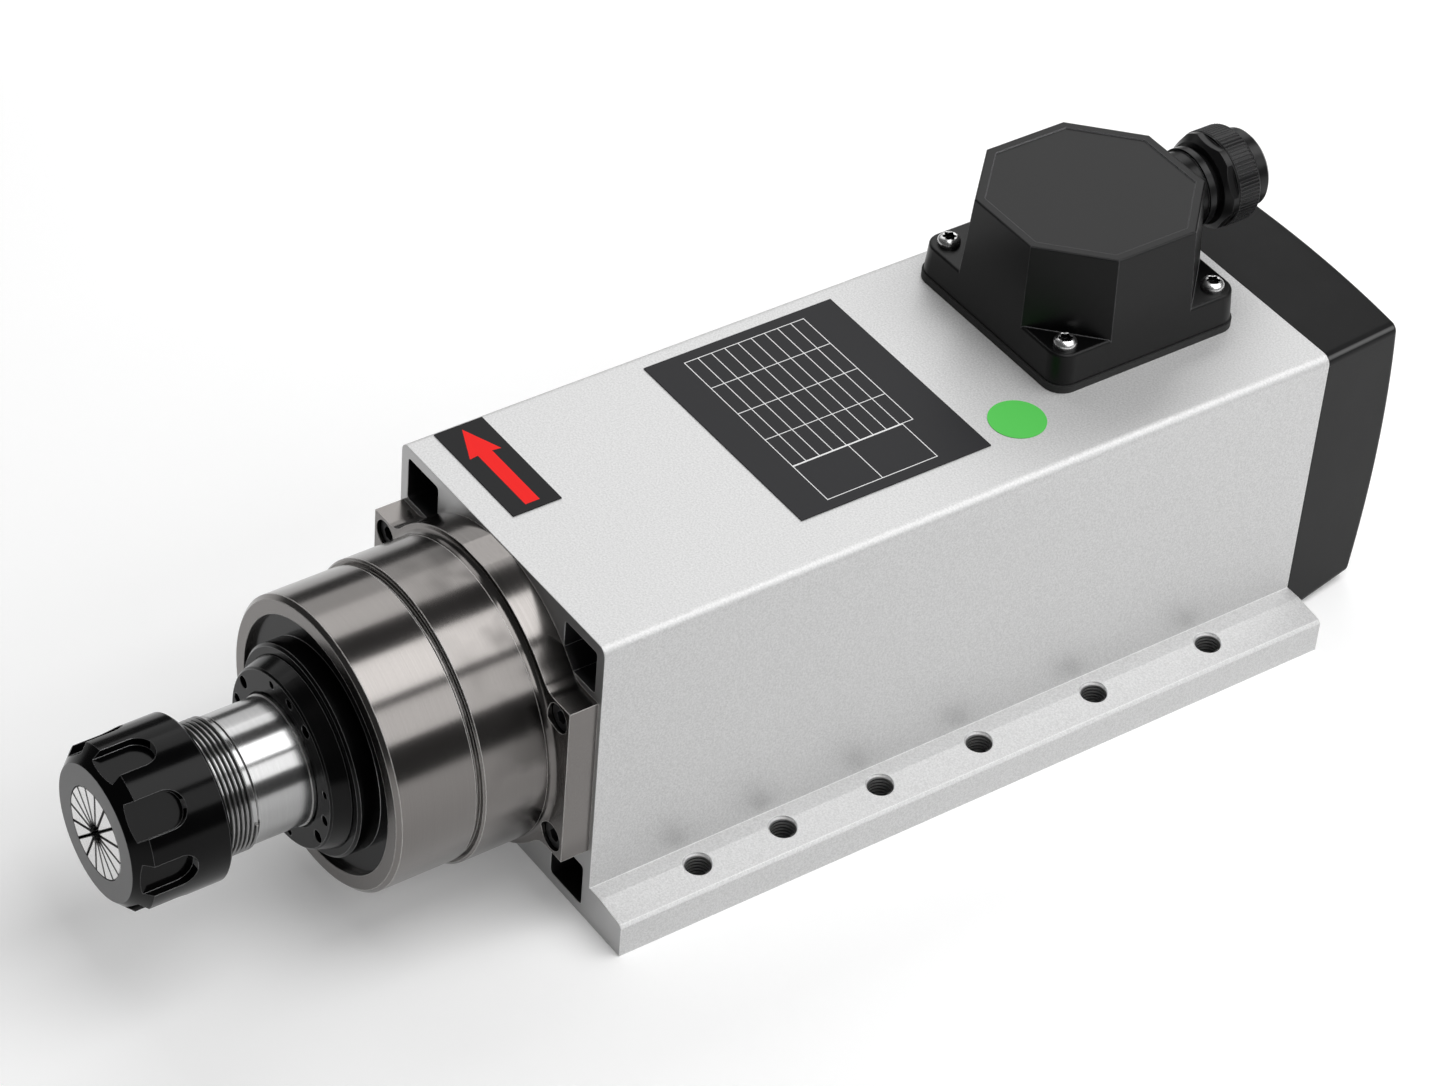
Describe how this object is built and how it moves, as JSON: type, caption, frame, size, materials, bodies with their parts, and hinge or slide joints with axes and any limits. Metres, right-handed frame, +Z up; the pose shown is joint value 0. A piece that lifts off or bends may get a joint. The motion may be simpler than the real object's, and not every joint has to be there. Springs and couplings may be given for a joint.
{
  "type": "motor spindle",
  "caption": "Square-bodied air-cooled motor spindle with a collet nose, drilled mounting feet, a terminal box with a cable gland, and a cooling fan under a domed rear cover.",
  "frame": {"origin": "middle of the flat underside that the feet stand on", "axes": "+Z up out of the mounting plate, -Y along the shaft to the tool end, +X to the side that the picture shows"},
  "size_m": [0.138, 0.427, 0.1462],
  "materials": {
    "housing_aluminium": "bead-blasted and clear anodised, with bright machined ends",
    "nose_steel": "fine turned gunmetal grey",
    "black_steel": "satin black oxide",
    "ground_steel": "ground and polished",
    "collet_steel": "ground",
    "bearing_steel": "polished",
    "cage_brass": "machined",
    "lamination_steel": "stacked sheet edge, lightly oiled",
    "rotor_aluminium": "as cast",
    "winding_copper": "varnished enamelled wire",
    "shield_aluminium": "as cast with machined seats",
    "spring_steel": "tempered",
    "fan_plastic": "moulded, fine grain",
    "cover_plastic": "moulded, satin with a fine grain",
    "box_plastic": "moulded, satin with a fine grain",
    "gland_plastic": "moulded nylon, satin",
    "stainless": "bright stainless",
    "rubber_black": "matt",
    "block_resin": "moulded phenolic",
    "stud_brass": "turned",
    "lead_sleeve": "silicone sleeve",
    "plate_charcoal": "printed charcoal foil with a fine white ruling",
    "label_black": "printed black foil with a red arrow",
    "sticker_green": "printed paper"
  },
  "bodies": {
    "frame": {"motor_housing": "housing_aluminium", "front_bearing_housing": "nose_steel", "flange_screws": "black_steel", "front_bearing_outer_races": "bearing_steel", "front_bearing_cap": "black_steel", "stator_core": "lamination_steel", "stator_windings": "winding_copper", "rear_end_shield": "shield_aluminium", "shield_screws": "black_steel", "rear_bearing_outer_race": "bearing_steel", "wave_spring": "spring_steel", "fan_cover": "cover_plastic", "fan_cover_screws": "black_steel", "box_gasket": "rubber_black", "terminal_box": "box_plastic", "box_screws": "stainless", "terminal_block": "block_resin", "terminal_studs": "stud_brass", "motor_leads": "lead_sleeve", "gland_body": "gland_plastic", "gland_locknut": "gland_plastic", "gland_seal": "rubber_black", "rating_plate": "plate_charcoal", "direction_label": "label_black", "inspection_sticker": "sticker_green"},
    "spindle": {"front_bearing_inner_races": "bearing_steel", "dust_ring": "black_steel", "bearing_locknut": "spring_steel", "spindle_shaft": "ground_steel", "rotor_core": "lamination_steel", "rotor_end_rings": "rotor_aluminium", "rear_bearing_inner_race": "bearing_steel", "cooling_fan": "fan_plastic", "fan_circlip": "spring_steel"},
    "front_ball_set": {"front_bearing_balls": "bearing_steel", "front_bearing_cages": "cage_brass"},
    "collet": {"collet": "collet_steel"},
    "collet_nut": {"collet_nut": "black_steel"},
    "rear_ball_set": {"rear_bearing_balls": "bearing_steel", "rear_bearing_cage": "cage_brass"},
    "gland_clamp": {"gland_clamp_ring": "gland_plastic"},
    "gland_nut": {"gland_nut": "gland_plastic"}
  },
  "joints": [
    {"name": "spindle_spin", "type": "hinge", "parent": "frame", "child": "spindle", "pos_m": [0, 0, 0.055], "axis": [0, -1, 0], "continuous": true},
    {"name": "front_balls_orbit", "type": "hinge", "parent": "frame", "child": "front_ball_set", "pos_m": [0, -0.167, 0.055], "axis": [0, -1, 0], "continuous": true},
    {"name": "rear_balls_orbit", "type": "hinge", "parent": "frame", "child": "rear_ball_set", "pos_m": [0, 0.1263, 0.055], "axis": [0, -1, 0], "continuous": true},
    {"name": "collet_draw", "type": "slide", "parent": "spindle", "child": "collet", "axis": [0, -1, 0], "range_m": [0, 0.02101]},
    {"name": "collet_nut_turn", "type": "hinge", "parent": "collet", "child": "collet_nut", "pos_m": [0, -0.2595, 0.055], "axis": [0, -1, 0], "range_deg": [0, 5040]},
    {"name": "gland_clamp_slide", "type": "slide", "parent": "frame", "child": "gland_clamp", "axis": [0, 1, 0], "range_m": [0, 0.00301]},
    {"name": "gland_nut_turn", "type": "hinge", "parent": "gland_clamp", "child": "gland_nut", "pos_m": [-0.009, 0.13, 0.1312], "axis": [0, 1, 0], "range_deg": [0, 720]}
  ],
  "couplings": [
    {"joint": "front_balls_orbit", "follows": "spindle_spin", "ratio": 0.4007},
    {"joint": "rear_balls_orbit", "follows": "spindle_spin", "ratio": 0.3806},
    {"joint": "collet_draw", "follows": "collet_nut_turn", "m_per_rad": 0.00023873},
    {"joint": "gland_clamp_slide", "follows": "gland_nut_turn", "m_per_rad": 0.00023873}
  ]
}
